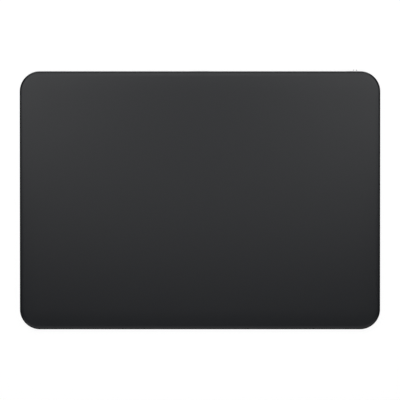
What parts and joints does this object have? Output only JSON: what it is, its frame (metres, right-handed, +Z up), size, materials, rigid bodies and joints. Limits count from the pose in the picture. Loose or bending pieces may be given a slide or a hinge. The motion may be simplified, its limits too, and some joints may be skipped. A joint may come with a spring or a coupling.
{
  "type": "trackpad",
  "caption": "Wedge-shaped desk trackpad: a black edge-to-edge touch glass on a slim metal tray, with force sensing, haptic engine, battery, charging socket and a sliding power switch.",
  "frame": {"origin": "on the desk, under the middle of the plan outline", "axes": "+X to the user's right, +Y to the rear, +Z up"},
  "size_m": [0.16, 0.1157, 0.0108],
  "materials": {
    "coated_glass": "etched glass, black behind",
    "blasted_aluminium": "fine bead-blasted, clear anodised",
    "knob_metal": "fine blasted, clear anodised",
    "foot_rubber": "matt moulded",
    "gasket_foam": "soft closed-cell foam",
    "gel": "clear soft gel",
    "film_adhesive": "thin bonding film",
    "spring_steel": "ground, bright",
    "core_iron": "laminated, blued edges",
    "coil_copper": "enamelled copper wire",
    "black_steel": "black oxide",
    "can_steel": "stamped, bright",
    "socket_steel": "polished",
    "contact_gold": "gold plated",
    "tongue_plastic": "moulded",
    "marker_green": "printed film",
    "board_laminate": "glass-filled board, solder mask",
    "chip_epoxy": "moulded epoxy",
    "ferrite": "pressed ferrite",
    "connector_plastic": "moulded",
    "shuttle_plastic": "moulded",
    "carrier_plastic": "moulded",
    "antenna_copper": "bare foil",
    "pouch_foil": "wrapped pouch",
    "cable_film": "polyimide film",
    "lead_jacket": "thin jacket"
  },
  "bodies": {
    "housing": {"antenna_carrier": "carrier_plastic", "antenna_foil": "antenna_copper", "antenna_lead": "lead_jacket", "battery_cell": "pouch_foil", "battery_guard_board": "board_laminate", "battery_lead": "cable_film", "battery_tapes": "film_adhesive", "board_connectors": "connector_plastic", "board_screws": "black_steel", "dust_gasket": "gasket_foam", "flexure_front_left": "spring_steel", "flexure_front_right": "spring_steel", "flexure_rear_left": "spring_steel", "flexure_rear_right": "spring_steel", "flexure_screws": "black_steel", "foot_front_left": "foot_rubber", "foot_front_right": "foot_rubber", "foot_rear_left": "foot_rubber", "foot_rear_right": "foot_rubber", "haptic_base_plate": "core_iron", "haptic_cable": "cable_film", "haptic_coils": "coil_copper", "haptic_core": "core_iron", "haptic_screws": "black_steel", "housing": "blasted_aluminium", "logic_board": "board_laminate", "power_inductors": "ferrite", "radio_chips": "chip_epoxy", "shield_can": "can_steel", "socket_contacts": "contact_gold", "socket_shell": "socket_steel", "socket_tongue": "tongue_plastic", "strain_gauge_front_left": "cable_film", "strain_gauge_front_right": "cable_film", "strain_gauge_rear_left": "cable_film", "strain_gauge_rear_right": "cable_film", "switch_backing": "can_steel", "switch_board": "board_laminate", "switch_board_screw": "black_steel", "switch_cable": "cable_film", "switch_case": "connector_plastic", "switch_marker": "marker_green", "touch_cable": "cable_film"},
    "load_pads": {"load_pad_front_left": "spring_steel", "load_pad_front_right": "spring_steel", "load_pad_rear_left": "spring_steel", "load_pad_rear_right": "spring_steel", "gel_pad_front_left": "gel", "gel_pad_front_right": "gel", "gel_pad_rear_left": "gel", "gel_pad_rear_right": "gel"},
    "touch_plate": {"touch_glass": "coated_glass", "glass_adhesive": "film_adhesive", "sensor_board": "board_laminate", "stiffener_plate": "spring_steel", "touch_chips": "chip_epoxy", "armature_bracket": "core_iron", "attraction_bar": "core_iron"},
    "power_switch": {"switch_knob": "knob_metal", "switch_shuttle": "shuttle_plastic"}
  },
  "joints": [
    {"name": "glass_press", "type": "slide", "parent": "housing", "child": "load_pads", "axis": [0, 0.0521, -0.9986], "range_m": [0, 0.0002], "stiffness_N_per_m": 15000, "springref_m": -0.00009, "deforming": ["dust_gasket", "touch_cable", "flexure_front_left", "flexure_front_right", "flexure_rear_left", "flexure_rear_right", "strain_gauge_front_left", "strain_gauge_front_right", "strain_gauge_rear_left", "strain_gauge_rear_right"]},
    {"name": "haptic_shift", "type": "slide", "parent": "load_pads", "child": "touch_plate", "axis": [0, 0.9986, 0.0521], "range_m": [-0.0001, 0.0001], "stiffness_N_per_m": 6000, "deforming": ["gel_pad_front_left", "gel_pad_front_right", "gel_pad_rear_left", "gel_pad_rear_right"]},
    {"name": "power_slide", "type": "slide", "parent": "housing", "child": "power_switch", "axis": [-1, 0, 0], "range_m": [0, 0.002]}
  ]
}
